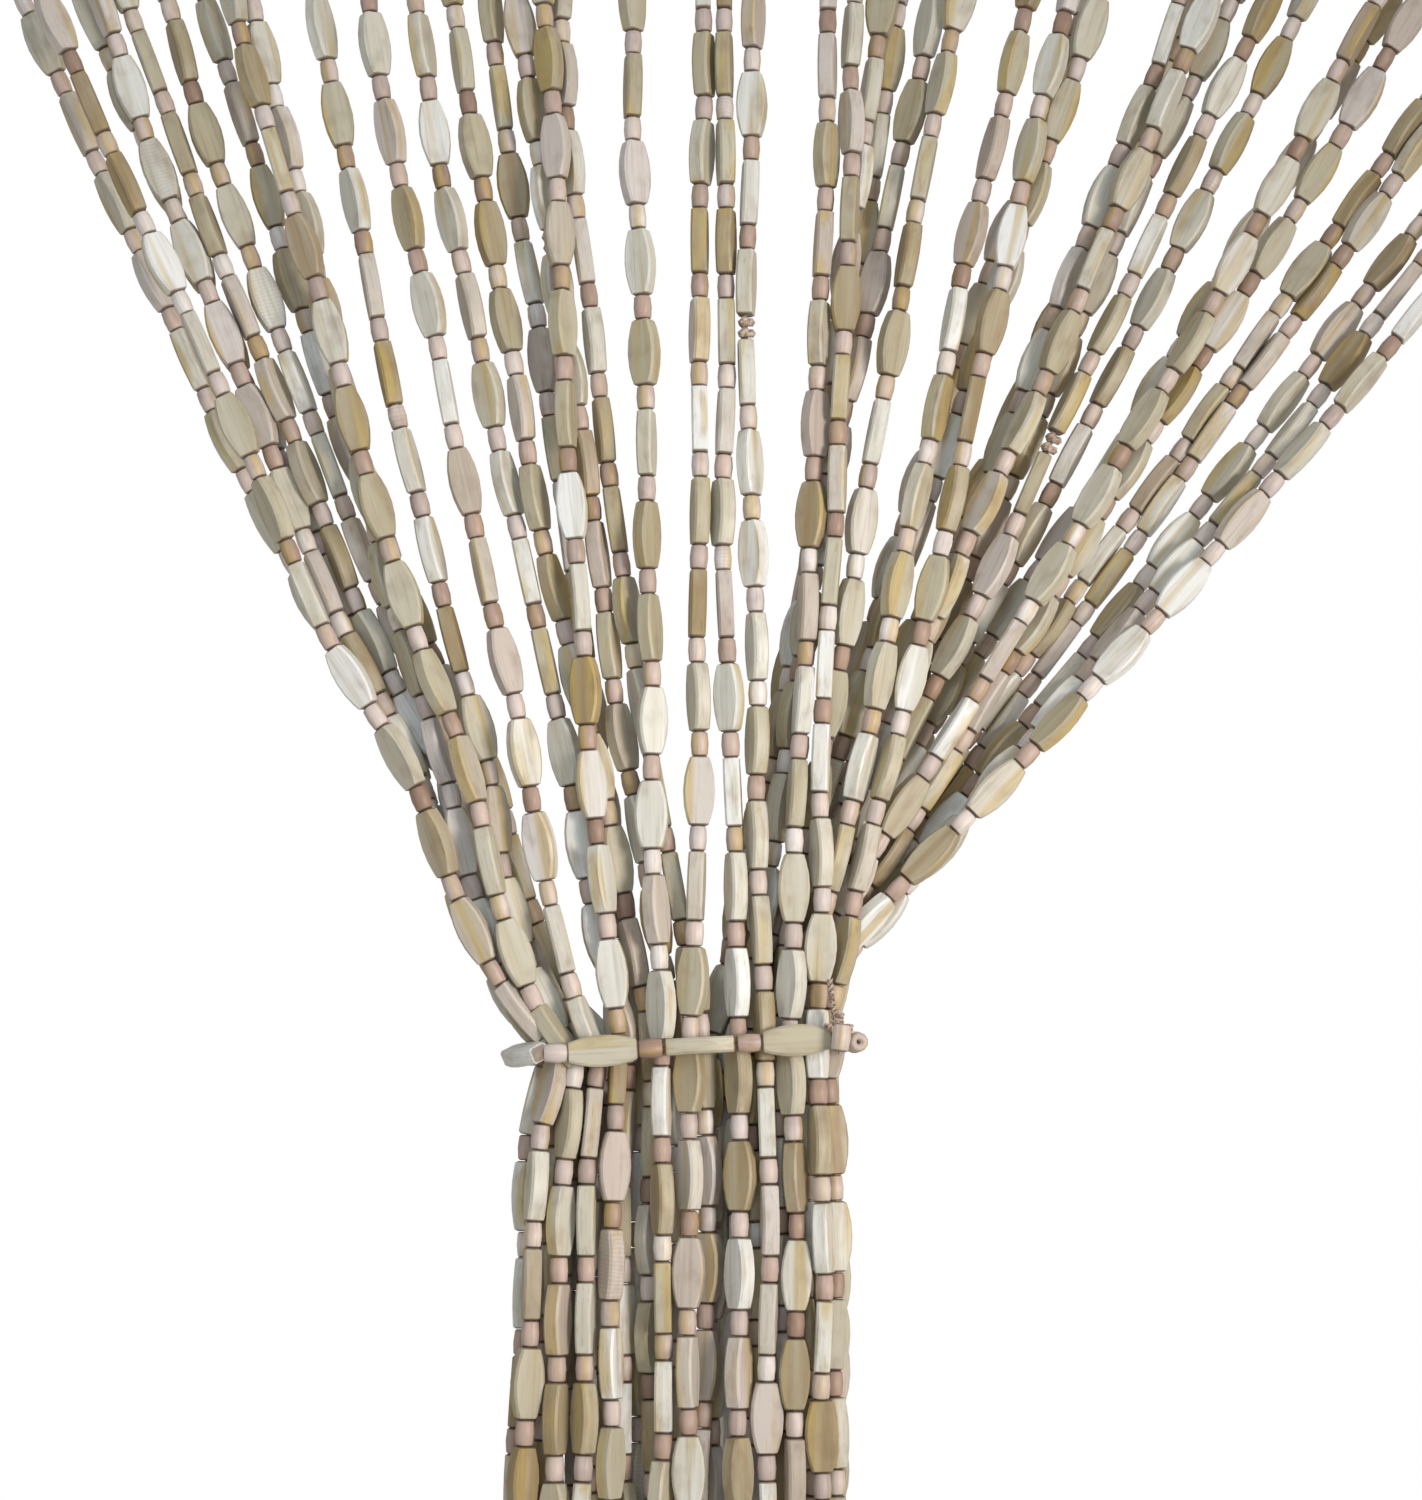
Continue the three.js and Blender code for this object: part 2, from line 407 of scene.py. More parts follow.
def reach(half_width, half_thickness, bearing):
    """How far a bead reaches from its string towards a bearing that is counted from its width."""
    corner = 0.0009
    sideways = np.abs(np.cos(bearing)) * (half_width - corner)
    return sideways + np.abs(np.sin(bearing)) * (half_thickness - corner) + corner


def chosen_turns(line, half_width, half_thickness, pair, seed):
    """For each long bead, the one of a few random turns that leaves most room to its neighbours."""
    turns_tried = 6
    random = np.random.default_rng(seed)
    turns = np.zeros((string_count, pair.max() + 1))
    settled = np.zeros((string_count, len(levels)), bool)
    turn_here = np.zeros((string_count, len(levels)))
    mean = (half_width + half_thickness) / 2
    beads = [(i, k) for k in range(pair.max() + 1) for i in random.permutation(string_count)]
    for string, number in beads:
        at = np.flatnonzero(pair[string] == number)
        tries = random.uniform(0, math.pi, turns_tried)
        if len(at) == 0:
            continue
        apart = line[:, at] - line[string, at][None]
        distance = np.hypot(apart[..., 0], apart[..., 1])
        distance[string] = 1.0
        bearing = np.arctan2(apart[..., 1], apart[..., 0])
        theirs = reach(half_width[:, at], half_thickness[:, at], bearing - turn_here[:, at])
        theirs = np.where(settled[:, at], theirs, mean[:, at])
        tried = bearing - tries[:, None, None]
        own = reach(half_width[string, at], half_thickness[string, at], tried)
        lap = np.maximum(0, own + theirs - distance)
        best = tries[np.argmin((lap**2).sum(axis=(1, 2)))]
        turns[string, number] = best
        turn_here[string, at] = best
        settled[string, at] = True
    return turns, turn_here


def turning(a, b, c):
    """More than 0 where the way from a through b to c turns left, in plan."""
    return (b[0] - a[0]) * (c[1] - b[1]) - (b[1] - a[1]) * (c[0] - b[0])


def tie_corners():
    """The outermost strings at the tie, anticlockwise from the left, as places in plan."""
    plan = sorted(set(zip(tie_x + columns * column_pitch, (layers - middle_layer) * layer_pitch)))
    around = []
    for row in (plan, plan[::-1]):
        side = []
        for place in row:
            while len(side) > 1 and turning(side[-2], side[-1], place) <= 1e-12:
                side.pop()
            side.append(place)
        around += side[:-1]
    return np.array(around)


def drawn_in(corners):
    """The corners of the bundle at the tie, which draws its left side and its back in."""
    left_squeeze = 0.0035
    back_squeeze = 0.0025
    moved = corners.copy()
    moved[:, 0] += left_squeeze * (corners[:, 0] < tie_x)
    moved[:, 1] -= back_squeeze * (corners[:, 1] > 0)
    return moved


def eased_apart(line, half_width, half_thickness, turn_here):
    """Moves strings apart where their beads would overlap, and keeps them inside the tie."""
    rounds = 120
    bead_push = 0.3
    tie_push = 0.6
    stiffness = 0.12
    farthest = 0.006
    wall = 0.0036
    tie_half_height = 0.009
    rest = line.copy()
    corners = drawn_in(tie_corners())
    sides = np.roll(corners, -1, axis=0) - corners
    outward = np.stack([sides[:, 1], -sides[:, 0]], axis=1)
    outward /= np.linalg.norm(outward, axis=1)[:, None]
    held = np.flatnonzero(np.abs(levels - tie_z) < tie_half_height)
    own = np.eye(string_count, dtype=bool)[:, :, None]
    for _ in range(rounds):
        apart = line[None] - line[:, None]
        distance = np.where(own, 1.0, np.hypot(apart[..., 0], apart[..., 1]))
        bearing = np.arctan2(apart[..., 1], apart[..., 0])
        mine = reach(half_width[:, None], half_thickness[:, None], bearing - turn_here[:, None])
        lap = np.maximum(0, mine + mine.transpose(1, 0, 2) + bead_clearance - distance)
        push = -(apart / distance[..., None] * lap[..., None]).sum(axis=1) * bead_push
        for corner, normal in zip(corners, outward):
            side_reach = reach(
                half_width[:, held],
                half_thickness[:, held],
                math.atan2(normal[1], normal[0]) - turn_here[:, held],
            )
            proud = (line[:, held] - corner) @ normal + side_reach - wall
            push[:, held] -= np.maximum(0, proud)[..., None] * normal * tie_push
        moved = line + push - rest
        smooth = moved.copy()
        smooth[:, 1:-1] += stiffness * (moved[:, 2:] + moved[:, :-2] - 2 * moved[:, 1:-1])
        smooth[:, 0] = 0
        size = np.linalg.norm(smooth, axis=2, keepdims=True)
        smooth *= np.minimum(1, farthest / np.maximum(size, 1e-9))
        line = rest + smooth
    return line


hung = resting_lines() + wandering(3)
half_width, half_thickness, pair = sections(length_down(hung))
long_turns, turn_here = chosen_turns(hung, half_width, half_thickness, pair, 11)
hung = eased_apart(hung, half_width, half_thickness, turn_here)
hung_length = length_down(hung)


def point_down(string, length):
    """The point of a string at a length from its root, and straight on below its last level."""
    along = hung_length[string]
    flat = [np.interp(length, along, hung[string, :, axis]) for axis in (0, 1)]
    height = np.interp(length, along, levels) - max(0.0, length - along[-1])
    return Vector((flat[0], flat[1], height))


# Beads: long ones sawn from flat strips of pale wood and turned to a barrel's outline, and small
# drum-shaped ones between them, all drilled end to end and threaded in turn on each string.
# They are tumbled smooth, so they have a soft sheen, and every piece of wood has its own tint.
long_stations = (-1.0, -0.95, -0.74, -0.40, 0.0, 0.40, 0.74, 0.95, 1.0)
long_end_cut = 0.0006
long_chamfer = 0.0007
small_end_radius = 0.0021
small_shoulder_radius = 0.0027
small_rings = (
    (-1.0, small_end_radius),
    (-0.86, small_shoulder_radius),
    (0.0, small_radius),
    (0.86, small_shoulder_radius),
    (1.0, small_end_radius),
)
small_sides = 10


def ringed_mesh(name, rings):
    """A closed mesh through rings of points, from the lowest ring to the highest."""
    count = len(rings[0])
    faces = [tuple(reversed(range(count)))]
    for level in range(len(rings) - 1):
        low = level * count
        for i in range(count):
            j = (i + 1) % count
            faces.append((low + i, low + j, low + j + count, low + i + count))
    faces.append(tuple(range((len(rings) - 1) * count, len(rings) * count)))
    mesh = bpy.data.meshes.new(name)
    mesh.from_pydata([point for ring in rings for point in ring], [], faces)
    mesh.polygons.foreach_set("use_smooth", [True] * len(faces))
    return mesh


def note_grain(mesh, edge_share, depth=1.0):
    """Notes on a bead where each point lies in its wood, and how far it is on a narrow side."""
    points = [vertex.co.copy() for vertex in mesh.vertices]
    places = [part for point in points for part in (point.x, point.y, point.z * depth)]
    grain = mesh.attributes.new("grain", "FLOAT_VECTOR", "POINT")
    grain.data.foreach_set("vector", places)
    side = mesh.attributes.new("side", "FLOAT", "POINT")
    side.data.foreach_set("value", [edge_share(point) for point in points])


def long_bead():
    """A flat bead with bowed narrow sides, its edges broken and its ends a little smaller."""
    c = long_chamfer
    rings = []
    for along in long_stations:
        cut = long_end_cut if abs(along) == 1 else 0
        x = long_half_width - (long_half_width - long_half_end) * along**2 - cut
        y = long_half_thickness - cut
        outline = [(x, c - y), (x, y - c), (x - c, y), (c - x, y)]
        outline += [(-a, -b) for a, b in outline]
        rings.append([(a, b, along * long_length / 2) for a, b in outline])
    mesh = ringed_mesh("long_bead", rings)
    mesh.set_sharp_from_angle(angle=math.radians(35))
    broad = long_half_thickness - long_end_cut - 0.0001
    note_grain(mesh, lambda point: 0.0 if abs(point.y) > broad else 1.0)
    return add_object("long_bead", mesh)


def small_bead():
    """A round bead like a little drum, its ends turned in."""
    bearings = [2 * math.pi * i / small_sides for i in range(small_sides)]
    rings = []
    for along, radius in small_rings:
        height = along * small_length / 2
        rings.append([(radius * math.cos(b), radius * math.sin(b), height) for b in bearings])
    mesh = ringed_mesh("small_bead", rings)
    mesh.set_sharp_from_angle(angle=math.radians(50))
    note_grain(mesh, lambda point: 0.0)
    return add_object("small_bead", mesh)


def bead_wood(name, stops, side_tint, half_length):
    """Pale tumbled wood: its tint from the bead's own tone, with streaks and fibres along it, and
    painted shade at its ends where beads meet.
    """
    material, shader, start = new_material(name)
    tone = start.node("ShaderNodeAttribute", {"attribute_name": "tone"}, output=2)
    side = start.node("ShaderNodeAttribute", {"attribute_name": "side"}, output=2)
    ripple = start.node("ShaderNodeAttribute", {"attribute_name": "ripple"}, output=2)
    own = start.node("ShaderNodeAttribute", {"attribute_name": "grain"}, output=1)
    shift = start.node("ShaderNodeAttribute", {"attribute_name": "shift"}, output=1)
    place = start.node("ShaderNodeVectorMath", {"operation": "ADD"}, {0: own, 1: shift})
    bands = place.scaled(230.0, 230.0, 13.0).noise(1.0, 1.0)
    heart = place.scaled(170.0, 170.0, 10.0).noise(1.0, 1.0)
    fibres = place.scaled(1000.0, 1000.0, 45.0).noise(1.0, 2.0, 0.6)
    stains = place.scaled(150.0, 150.0, 100.0).noise(1.0, 2.0)
    height = start.node("ShaderNodeSeparateXYZ", {}, {0: own}, 2)
    greyness = start.node("ShaderNodeSeparateXYZ", {}, {0: shift}, 0)
    from_middle = start.node("ShaderNodeMath", {"operation": "ABSOLUTE"}, {0: height})
    # Painted shade where beads meet: the colour darkens over the last half millimetre at each end of
    # a bead.
    joint_shade = from_middle.rising(half_length - 0.0006, half_length - 0.0001)
    turned = (height + stains * 0.003) * 5000.0
    waves = start.node("ShaderNodeMath", {"operation": "SINE"}, {0: turned}) * ripple

    wood = (tone + (bands - 0.5) * 0.6).ramp(stops)
    greyed = wood.mixed(colour(202, 192, 188), greyness.rising(0.66, 0.95) * 0.65)
    sided = greyed.mixed(side_tint, side * 0.50)
    hearted = sided.mixed(colour(188, 164, 92), heart.rising(0.53, 0.70) * 0.60)
    stained = hearted.mixed(colour(124, 98, 78), stains.rising(0.50, 0.80) * 0.35)
    fibred = stained.mixed(colour(112, 88, 62), fibres.rising(0.47, 0.75) * 0.25)
    rippled = fibred.mixed(colour(112, 90, 70), (waves * 0.5 + ripple * 0.5) * 0.14)
    # The painted shade at the bead's ends, where it meets the next bead, goes on last.
    joint_shaded = rippled.mixed(colour(88, 64, 50), joint_shade * 0.75)
    connect(shader, "Base Color", joint_shaded)
    connect(shader, "Roughness", 0.36 + fibres * 0.22)
    relief = fibres * 0.6 + waves * 0.25
    bump = start.node(
        "ShaderNodeBump", {}, {"Height": relief, "Strength": 0.5, "Distance": 0.00015}
    )
    connect(shader, "Normal", bump)
    shader.inputs["Specular IOR Level"].default_value = 0.4
    return material


def long_wood():
    """The long beads' wood, from nearly white through cream to a greenish tan."""
    stops = [
        (0.00, colour(228, 230, 226)),
        (0.15, colour(211, 211, 200)),
        (0.35, colour(196, 193, 177)),
        (0.55, colour(185, 180, 158)),
        (0.75, colour(173, 165, 139)),
        (0.90, colour(162, 149, 119)),
        (1.00, colour(152, 133, 97)),
    ]
    return bead_wood("long_bead_wood", stops, colour(226, 222, 200), long_length / 2)


def small_wood():
    """The small beads' wood, which is pinker and darker than the long beads'."""
    stops = [
        (0.00, colour(228, 224, 218)),
        (0.20, colour(214, 202, 194)),
        (0.50, colour(199, 180, 168)),
        (0.75, colour(179, 156, 142)),
        (1.00, colour(152, 127, 110)),
    ]
    return bead_wood("small_bead_wood", stops, colour(220, 208, 160), small_length / 2)


def cotton():
    """Twisted cotton thread, darkened by handling between its plies."""
    material, shader, start = new_material("cotton_thread")
    place = start.node("ShaderNodeTexCoord", output=3)
    plies = place.scaled(700.0, 700.0, 1100.0).noise(1.0, 3.0, 0.6)
    shade = plies.ramp(
        [
            (0.28, colour(116, 94, 80)),
            (0.46, colour(164, 144, 128)),
            (0.62, colour(202, 188, 174)),
        ]
    )
    connect(shader, "Base Color", shade)
    connect(shader, "Roughness", 0.75 + plies * 0.15)
    bump = start.node(
        "ShaderNodeBump", {}, {"Height": plies, "Strength": 0.6, "Distance": 0.0002}
    )
    connect(shader, "Normal", bump)
    return material


def looped_mesh(name, rings):
    """A closed mesh through rings of points that follow one another round a loop."""
    count = len(rings[0])
    faces = []
    for i in range(len(rings)):
        ahead = (i + 1) % len(rings) * count
        for j in range(count):
            k = (j + 1) % count
            faces.append((i * count + j, ahead + j, ahead + k, i * count + k))
    mesh = bpy.data.meshes.new(name)
    mesh.from_pydata([point for ring in rings for point in ring], [], faces)
    mesh.polygons.foreach_set("use_smooth", [True] * len(faces))
    return mesh


def trefoil(turn):
    """A point of the loop of a plain overhand knot."""
    x = math.sin(turn) + 1.4 * math.sin(2 * turn)
    y = math.cos(turn) - 1.4 * math.cos(2 * turn)
    return Vector((x, y, -math.sin(3 * turn)))


def thread_knot():
    """A small overhand knot of thread, drawn tight."""
    steps = 18
    sides = 5
    loop = 0.0006
    radius = 0.00075
    rings = []
    for step in range(steps):
        turn = 2 * math.pi * step / steps
        ahead = (trefoil(turn + 0.01) - trefoil(turn - 0.01)).normalized()
        across = ahead.cross(Vector((0, 0, 1))).normalized()
        up = across.cross(ahead)
        ring = []
        for side in range(sides):
            bearing = 2 * math.pi * side / sides
            out = across * math.cos(bearing) + up * math.sin(bearing)
            ring.append(trefoil(turn) * loop + out * radius)
        rings.append(ring)
    mesh = looped_mesh("thread_knot", rings)
    note_grain(mesh, lambda point: 0.0)
    return add_object("thread_knot", mesh)


def bored_bead():
    """A small bead with its bore open, for the one that is seen end on."""
    bore = 0.0008
    mouth = 0.0036
    profile = [(radius, along * small_length / 2) for along, radius in small_rings]
    profile += [(bore, mouth), (bore, -mouth)]
    rings = []
    for i in range(small_sides):
        bearing = 2 * math.pi * i / small_sides
        rings.append([(r * math.cos(bearing), r * math.sin(bearing), z) for r, z in profile])
    mesh = looped_mesh("bored_bead", rings)
    note_grain(mesh, lambda point: 0.0, 0.7)
    return add_object("bored_bead", mesh)


LONG, SMALL, BORED, KNOT, THREAD = range(5)


def threading_tree():
    """Geometry Nodes that thread beads on a string: beads on its marks, thread on its edges."""
    tree = bpy.data.node_groups.new("threaded beads", "GeometryNodeTree")
    sockets = (
        ("String", "NodeSocketGeometry"),
        ("Long bead", "NodeSocketObject"),
        ("Small bead", "NodeSocketObject"),
        ("Bored bead", "NodeSocketObject"),
        ("Knot", "NodeSocketObject"),
        ("Long wood", "NodeSocketMaterial"),
        ("Small wood", "NodeSocketMaterial"),
        ("Thread cotton", "NodeSocketMaterial"),
        ("Thread radius", "NodeSocketFloat"),
        ("Size variation", "NodeSocketFloat"),
        ("Seed", "NodeSocketInt"),
    )
    for name, kind in sockets:
        tree.interface.new_socket(name, in_out="INPUT", socket_type=kind)
    tree.interface.new_socket("Beads", in_out="OUTPUT", socket_type="NodeSocketGeometry")
    given = tree.nodes.new("NodeGroupInput").outputs
    result = tree.nodes.new("NodeGroupOutput").inputs

    def add(kind, settings=None, inputs=None, output=0):
        node = tree.nodes.new(kind)
        for name, value in (settings or {}).items():
            setattr(node, name, value)
        for name, value in (inputs or {}).items():
            if isinstance(value, bpy.types.NodeSocket):
                tree.links.new(value, node.inputs[name])
            else:
                node.inputs[name].default_value = value
        return node.outputs[output]

    def noted(name, kind):
        return add("GeometryNodeInputNamedAttribute", {"data_type": kind}, {"Name": name})

    def only(kind):
        return add(
            "FunctionNodeCompare",
            {"data_type": "INT", "operation": "EQUAL"},
            {2: noted("kind", "INT"), 3: kind},
        )

    along = add(
        "FunctionNodeAlignRotationToVector",
        {"axis": "Z"},
        {"Vector": noted("along", "FLOAT_VECTOR")},
    )
    facing = add(
        "FunctionNodeAlignRotationToVector",
        {"axis": "Y", "pivot_axis": "Z"},
        {"Rotation": along, "Vector": noted("facing", "FLOAT_VECTOR")},
    )
    least = add("ShaderNodeMath", {"operation": "SUBTRACT"}, {0: 1.0, 1: given["Size variation"]})
    most = add("ShaderNodeMath", {"operation": "ADD"}, {0: 1.0, 1: given["Size variation"]})
    size = add(
        "FunctionNodeRandomValue",
        {"data_type": "FLOAT_VECTOR"},
        {
            0: add("ShaderNodeCombineXYZ", {}, {0: least, 1: least, 2: 0.99}),
            1: add("ShaderNodeCombineXYZ", {}, {0: most, 1: most, 2: 1.0}),
            "Seed": given["Seed"],
        },
    )
    size = add(
        "ShaderNodeVectorMath",
        {"operation": "MULTIPLY"},
        {0: size, 1: noted("stretch", "FLOAT_VECTOR")},
    )
    parts = []
    shapes = ((LONG, "Long bead"), (SMALL, "Small bead"), (BORED, "Bored bead"), (KNOT, "Knot"))
    for kind, name in shapes:
        shape = add("GeometryNodeObjectInfo", {}, {"Object": given[name]}, 4)
        parts.append(
            add(
                "GeometryNodeInstanceOnPoints",
                {},
                {
                    "Points": given["String"],
                    "Selection": only(kind),
                    "Instance": shape,
                    "Rotation": facing,
                    "Scale": size,
                },
            )
        )
    thread_line = add("GeometryNodeMeshToCurve", {}, {0: given["String"]})
    section = add(
        "GeometryNodeCurvePrimitiveCircle",
        {"mode": "RADIUS"},
        {"Resolution": 4, "Radius": given["Thread radius"]},
    )
    parts.append(
        add(
            "GeometryNodeCurveToMesh",
            {},
            {"Curve": thread_line, "Profile Curve": section, "Fill Caps": True},
        )
    )
    joined = tree.nodes.new("GeometryNodeJoinGeometry")
    for part in parts:
        tree.links.new(part, joined.inputs[0])
    whole = add("GeometryNodeRealizeInstances", {}, {0: joined.outputs[0]})
    whole = add("GeometryNodeSetMaterial", {}, {0: whole, "Material": given["Thread cotton"]})
    for kind, name in ((LONG, "Long wood"), (SMALL, "Small wood"), (BORED, "Small wood")):
        whole = add(
            "GeometryNodeSetMaterial",
            {},
            {0: whole, "Selection": only(kind), "Material": given[name]},
        )
    tree.links.new(whole, result[0])
    return tree


threading = threading_tree()
bead_patterns = {
    "Long bead": long_bead(),
    "Small bead": small_bead(),
    "Bored bead": bored_bead(),
    "Knot": thread_knot(),
}
bead_finishes = {"Long wood": long_wood(), "Small wood": small_wood(), "Thread cotton": cotton()}
thread_radius = 0.00045
bead_size_variation = 0.05
rippled_share = 0.012
# Where a string was joined with knots instead of a small bead: its number from the left, from 0,
# and the number of the pair of beads below it. These knots are of doubled thread, so they are big.
joined_at = ((20, 13), (25, 23), (14, 12), (35, 16))
joining_knot = (1.5, 1.5, 1.4)
joining_knot_shares = (0.27, 0.73)
# Long beads of the palest wood, in the same numbers.
pale_at = ((17, 21), (19, 19))


def mark(kind, place, along, facing, tone=None, stretch=(1, 1, 1)):
    """Where a bead or a knot goes, the way its bore runs, the way its broad face looks and more."""
    return {
        "kind": kind,
        "place": place,
        "along": along,
        "facing": facing,
        "tone": tone,
        "stretch": stretch,
    }


def threaded(name, marks, lines, seed):
    """Makes one piece: a bead or a knot on each mark, and a thread along each line of points.

    A mark without a tone gets a random one.
    """
    random = np.random.default_rng(seed)
    points = [bead["place"] for bead in marks]
    edges = []
    for line in lines:
        start = len(points)
        points += line
        edges += [(start + i, start + i + 1) for i in range(len(line) - 1)]
    mesh = bpy.data.meshes.new(name)
    mesh.from_pydata(points, edges, [])
    up = Vector((0, 0, 1))
    marks = marks + [mark(THREAD, None, up, up)] * (len(points) - len(marks))
    tones = [random.random() if bead["tone"] is None else bead["tone"] for bead in marks]
    ripples = [float(random.random() < rippled_share) for _ in marks]
    shifts = random.uniform(0, 1, (len(marks), 3))
    kinds = [bead["kind"] for bead in marks]
    mesh.attributes.new("kind", "INT", "POINT").data.foreach_set("value", kinds)
    for label, values in (("tone", tones), ("ripple", ripples)):
        mesh.attributes.new(label, "FLOAT", "POINT").data.foreach_set("value", values)
    vectors = {label: [bead[label] for bead in marks] for label in ("along", "facing", "stretch")}
    for label, values in {**vectors, "shift": shifts}.items():
        flat = np.array(values, float).ravel()
        mesh.attributes.new(label, "FLOAT_VECTOR", "POINT").data.foreach_set("vector", flat)

    piece = add_object(name, mesh)
    beads = piece.modifiers.new("threaded beads", "NODES")
    beads.node_group = threading
    values = {
        **bead_patterns,
        **bead_finishes,
        "Thread radius": thread_radius,
        "Size variation": bead_size_variation,
        "Seed": seed,
    }
    for socket in threading.interface.items_tree:
        if socket.name in values:
            beads[socket.identifier] = values[socket.name]
    return baked(piece)


def wound_round_lath(x):
    """Thread points for two turns round the lath, which leave it in the middle of its underside."""
    turns = 2
    turn_pitch = 0.0011
    out = thread_radius
    back = lath_depth / 2 + out
    high = lath_z + lath_height / 2 + out
    low = lath_z - lath_height / 2 - out
    corners = ((-back, low), (-back, high), (back, high), (back, low))
    points = []
    for step in range(turns * len(corners)):
        y, z = corners[step % len(corners)]
        points.append(Vector((x + (step / len(corners) - turns / 2) * turn_pitch, y, z)))
    points.append(Vector((x, 0, low)))
    return points


def string_marks(string):
    """The beads of one string as marks, and the points that its thread passes."""
    top_room = 0.004
    knot_gap = 0.0012
    tail = 0.014
    tail_middle = 0.006
    tail_trim = 0.001
    up = Vector((0, 0, 1))
    away = Vector((0, 1, 0))
    marks = []
    thread = wound_round_lath(root_x[string])
    last = top_room
    for number in range(-1, int(string_length / bead_pair) + 1):
        small_at = first_small[string] + number * bead_pair
        beads = (
            (SMALL, small_at, small_length / 2),
            (LONG, small_at + bead_pair / 2, long_length / 2),
        )
        for kind, at, half in beads:
            if at - half < top_room or at + half > string_length - tail:
                continue
            above = point_down(string, at - half)
            below = point_down(string, at + half)
            turn = long_turns[string, min(number + 1, long_turns.shape[1] - 1)]
            facing = Vector((-math.sin(turn), math.cos(turn), 0))
            if kind == SMALL and (string, number) in joined_at:
                for share in joining_knot_shares:
                    place = above.lerp(below, share)
                    marks.append(mark(KNOT, place, above - below, facing, None, joining_knot))
            else:
                tone = 0.0 if kind == LONG and (string, number) in pale_at else None
                marks.append(mark(kind, (above + below) / 2, above - below, facing, tone))
            thread += [above, below]
            last = at + half
    knot_at = point_down(string, last + knot_gap)
    marks.append(mark(KNOT, knot_at, up, away))
    thread += [knot_at, point_down(string, last + tail_middle)]
    thread.append(point_down(string, last + tail - tail_trim))
    return marks, thread


strings_in_piece = 9
for group in range(string_count // strings_in_piece):
    marks = []
    lines = []
    for string in range(group * strings_in_piece, (group + 1) * strings_in_piece):
        string_beads, thread = string_marks(string)
        marks += string_beads
        lines.append(thread)
    beaded = threaded(f"bead_strings_{group + 1}", marks, lines, 40 + group)
    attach(beaded, "root")
    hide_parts("strands")

# Tie: a short string of the same beads drawn tight round the bundle and knotted at its right front.
# At the knot one small bead stands upright and another shows its bore, and a free end stands up.
# The string rises a little towards its right end.
tie_reach = 0.0062
tie_tilt = 0.055
tie_flat_from = -0.036
tie_corner_steps = 6
tie_bulge = 0.8
tie_thread_step = 0.004

# The beads along the front of the tie from left to right: their places to the right of its
# middle, how many degrees they are turned from lying flat on the bundle, and their tones.
tie_front = (
    (LONG, -0.0519, 64, 0.03),
    (SMALL, -0.0377, 0, 0.30),
    (LONG, -0.0230, 0, 0.50),
    (SMALL, -0.0079, 0, 0.95),
    (LONG, 0.0075, 90, 0.50),
    (SMALL, 0.0231, 0, 0.60),
    (LONG, 0.0380, 0, 0.62),
)
last_hidden = 0.0665


def tie_route():
    """The tie's closed line in plan, anticlockwise from the middle of its front."""
    corners = drawn_in(tie_corners())
    route = []
    for index, corner in enumerate(corners):
        before = corner - corners[index - 1]
        after = corners[(index + 1) % len(corners)] - corner
        first = math.atan2(before[1], before[0]) - math.pi / 2
        last = math.atan2(after[1], after[0]) - math.pi / 2
        last += 2 * math.pi if last < first - 1e-9 else 0
        for step in range(tie_corner_steps + 1):
            bearing = first + (last - first) * step / tie_corner_steps
            route.append(corner + tie_reach * np.array([math.cos(bearing), math.sin(bearing)]))
    front = np.array([tie_x, min(place[1] for place in route)])
    start = max(range(len(route)), key=lambda i: (route[i][0] < tie_x) * (1 - route[i][1]))
    ordered = route[start + 1 :] + route[: start + 1]
    return np.array([front] + ordered + [front])


tie_line = tie_route()
tie_steps = np.linalg.norm(np.diff(tie_line, axis=0), axis=1)
tie_along = np.concatenate([[0], np.cumsum(tie_steps)])
tie_round = tie_along[-1]


def tie_point(length):
    """The point of the tie at a length to the right of the middle of its front."""
    at = length % tie_round
    x = np.interp(at, tie_along, tie_line[:, 0])
    y = np.interp(at, tie_along, tie_line[:, 1])
    return Vector((x, y, tie_z + max(x - tie_x, tie_flat_from) * tie_tilt))


def tie_bead(kind, centre, degrees, tone):
    """A mark for a bead of the tie at a length to the right of its middle."""
    half = (long_length if kind == LONG else small_length) / 2
    before = tie_point(centre - half)
    after = tie_point(centre + half)
    along = after - before
    outward = Vector((along.y, -along.x, 0)).normalized()
    chord = (before + after) / 2
    middle = chord + outward * max(0.0, (tie_point(centre) - chord).dot(outward)) * tie_bulge
    turn = math.radians(degrees)
    facing = outward * math.cos(turn) + Vector((0, 0, 1)) * math.sin(turn)
    return mark(kind, middle, along, facing, tone)


def hidden_tie_beads():
    """The beads of the tie from its left end round the back to the knot, evenly apart."""
    first = tie_front[0][1]
    length = tie_round + first - last_hidden
    count = round(length / (bead_pair / 2))
    kinds = (LONG, SMALL)
    return [
        tie_bead(kinds[i % 2], first - length * i / count, 90 * (i % 2 == 0), None)
        for i in range(1, count + 1)
    ]


